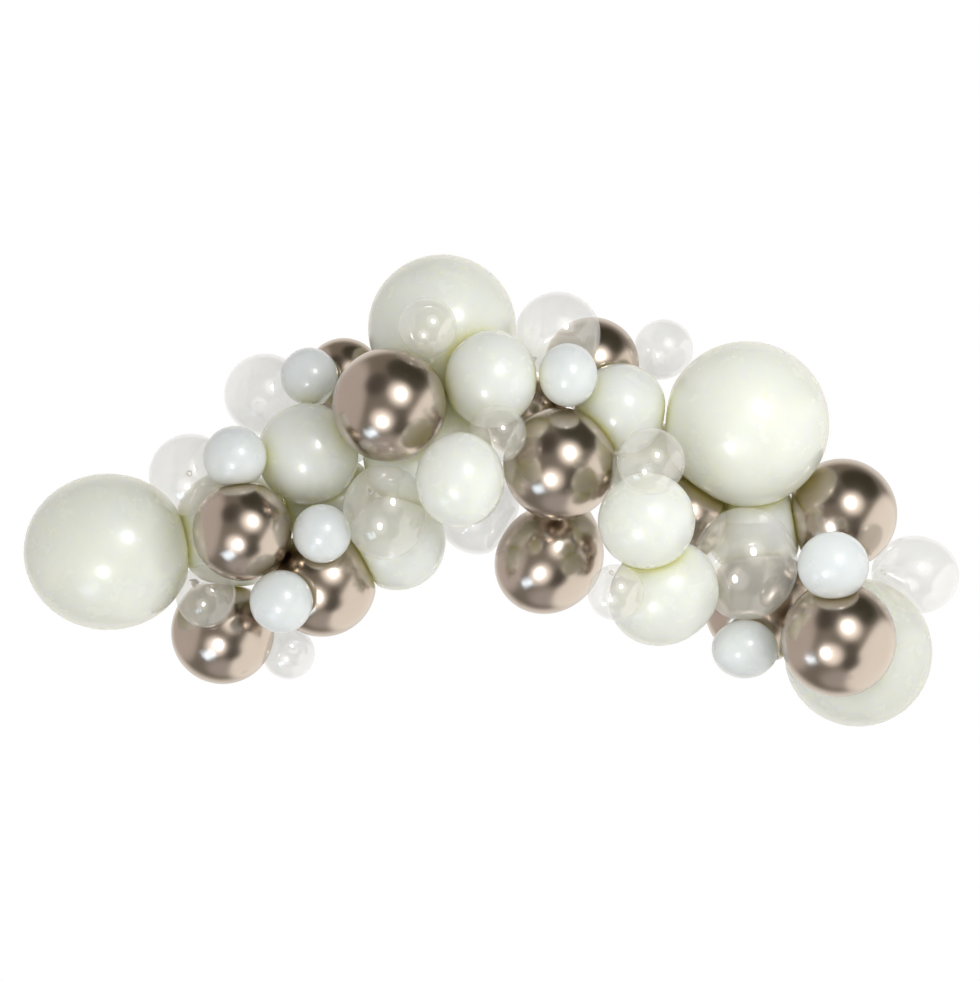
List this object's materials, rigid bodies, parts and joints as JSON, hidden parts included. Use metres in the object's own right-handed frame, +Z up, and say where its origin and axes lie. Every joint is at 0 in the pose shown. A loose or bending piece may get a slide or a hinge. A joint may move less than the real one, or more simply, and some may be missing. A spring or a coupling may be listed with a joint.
{
  "type": "balloon garland",
  "caption": "Arched garland of ivory, white, clear and metallic taupe latex balloons packed along a flat plastic strip that hangs on a wall.",
  "frame": {"origin": "on the back face of the carrier strip at the crown of its arch, where the garland is hung on the wall", "axes": "+X along the garland, +Y out of the back towards the wall, +Z up; the front of the bunch faces -Y"},
  "size_m": [1.8585, 0.5813, 0.9464],
  "materials": {
    "ivory_latex": "smooth glossy inflated latex, ivory",
    "white_latex": "smooth glossy inflated latex, cool white",
    "chrome_latex": "metallic mirror-finish latex, taupe",
    "clear_latex": "clear inflated latex, slightly milky",
    "strip_plastic": "semi-matt translucent plastic"
  },
  "bodies": {
    "root": {"garland_strip": "strip_plastic", "ivory_balloon_1": "ivory_latex", "ivory_balloon_2": "ivory_latex", "ivory_balloon_3": "ivory_latex", "clear_balloon_1": "clear_latex", "clear_balloon_2": "clear_latex", "small_clear_balloon_1": "clear_latex", "chrome_balloon_1": "chrome_latex", "clear_balloon_3": "clear_latex", "ivory_balloon_4": "ivory_latex", "large_ivory_balloon_1": "ivory_latex", "chrome_balloon_2": "chrome_latex", "chrome_balloon_3": "chrome_latex", "clear_balloon_4": "clear_latex", "small_clear_balloon_2": "clear_latex", "ivory_balloon_5": "ivory_latex", "ivory_balloon_6": "ivory_latex", "chrome_balloon_4": "chrome_latex", "ivory_balloon_7": "ivory_latex", "chrome_balloon_5": "chrome_latex", "chrome_balloon_6": "chrome_latex", "large_ivory_balloon_2": "ivory_latex", "clear_balloon_5": "clear_latex", "chrome_balloon_7": "chrome_latex", "large_ivory_balloon_3": "ivory_latex", "chrome_balloon_8": "chrome_latex", "chrome_balloon_9": "chrome_latex", "ivory_balloon_8": "ivory_latex", "clear_balloon_6": "clear_latex", "small_clear_balloon_3": "clear_latex", "ivory_balloon_9": "ivory_latex", "chrome_balloon_10": "chrome_latex", "clear_balloon_7": "clear_latex", "ivory_balloon_10": "ivory_latex", "ivory_balloon_11": "ivory_latex", "large_ivory_balloon_4": "ivory_latex", "chrome_balloon_11": "chrome_latex", "chrome_balloon_12": "chrome_latex", "chrome_balloon_13": "chrome_latex", "small_clear_balloon_4": "clear_latex", "ivory_balloon_12": "ivory_latex", "clear_balloon_8": "clear_latex", "small_clear_balloon_5": "clear_latex", "small_clear_balloon_6": "clear_latex", "small_white_balloon_1": "white_latex", "small_white_balloon_2": "white_latex", "small_white_balloon_3": "white_latex", "small_white_balloon_4": "white_latex", "small_white_balloon_5": "white_latex", "small_white_balloon_6": "white_latex", "small_white_balloon_7": "white_latex"}
  },
  "joints": []
}
